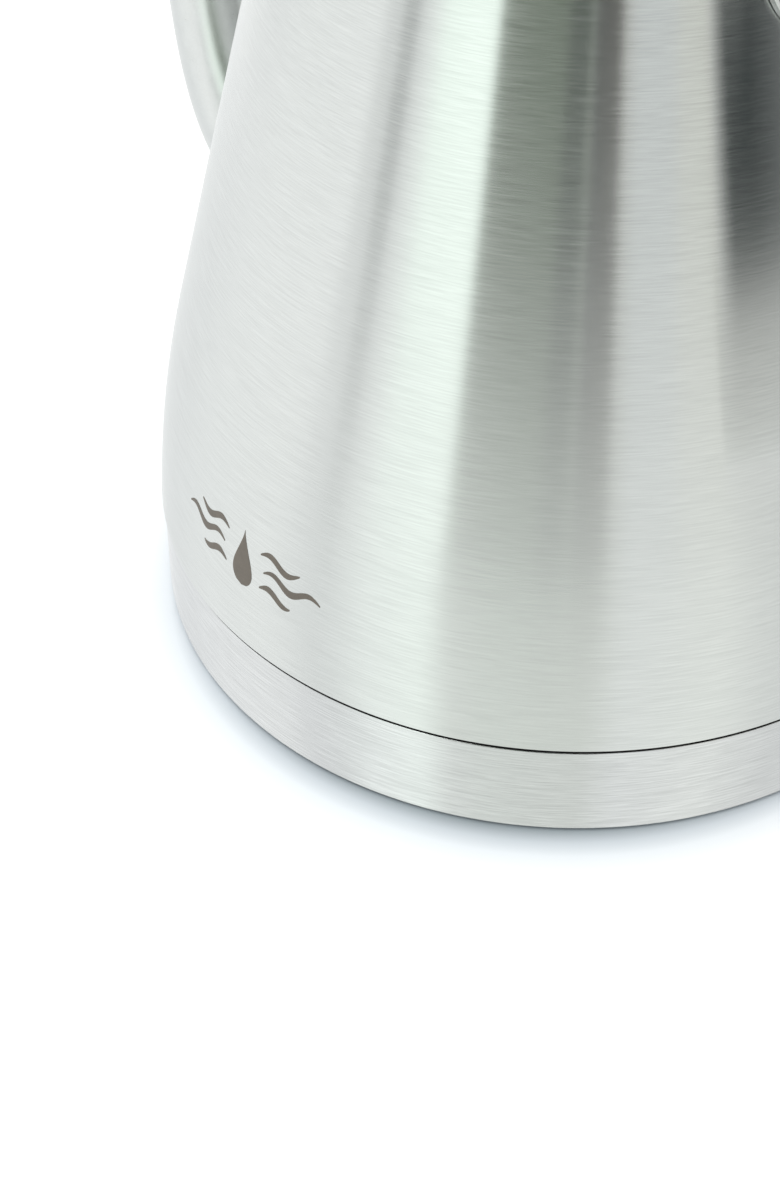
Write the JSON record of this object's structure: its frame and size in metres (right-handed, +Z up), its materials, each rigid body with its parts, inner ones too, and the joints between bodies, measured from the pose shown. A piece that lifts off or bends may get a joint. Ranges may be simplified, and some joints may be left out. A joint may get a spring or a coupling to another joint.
{
  "type": "gooseneck kettle",
  "caption": "Stove-top gooseneck kettle: conical steel vessel on a flat base cup, slim curved pouring spout opposite a dark hook-shaped side handle, and a domed lift-off lid with a knob.",
  "frame": {"origin": "on the vessel's axis, in the plane of the flat base", "axes": "+Z up; the spout points along -X and the handle along +X; the etched emblem faces -Y"},
  "size_m": [0.2767, 0.148, 0.1935],
  "materials": {
    "brushed_steel": "brushed around the axis",
    "satin_steel": "satin",
    "aluminium": "as rolled",
    "brass": "turned",
    "phenolic": "moulded phenolic, satin black",
    "silicone": "translucent white, matt"
  },
  "bodies": {
    "kettle": {"body_shell": "brushed_steel", "vessel_pan": "satin_steel", "heat_spreader": "aluminium", "base_cup": "brushed_steel", "mouth_ring": "satin_steel", "spout_tube": "brushed_steel", "spout_collar": "satin_steel", "handle_bracket": "satin_steel", "handle_ferrule": "satin_steel", "grip_front": "phenolic", "grip_back": "phenolic", "grip_screw_1": "satin_steel", "grip_screw_2": "satin_steel", "grip_nut_1": "satin_steel", "grip_nut_2": "satin_steel"},
    "lid": {"lid_cover": "brushed_steel", "lid_collar": "satin_steel", "lid_seal": "silicone", "knob_ferrule": "satin_steel", "lid_knob": "phenolic", "knob_insert": "brass", "knob_washer": "satin_steel", "knob_screw": "satin_steel"}
  },
  "joints": [
    {"name": "lid_lift", "type": "slide", "parent": "kettle", "child": "lid", "axis": [0, 0, 1], "range_m": [0, 0.07]}
  ]
}
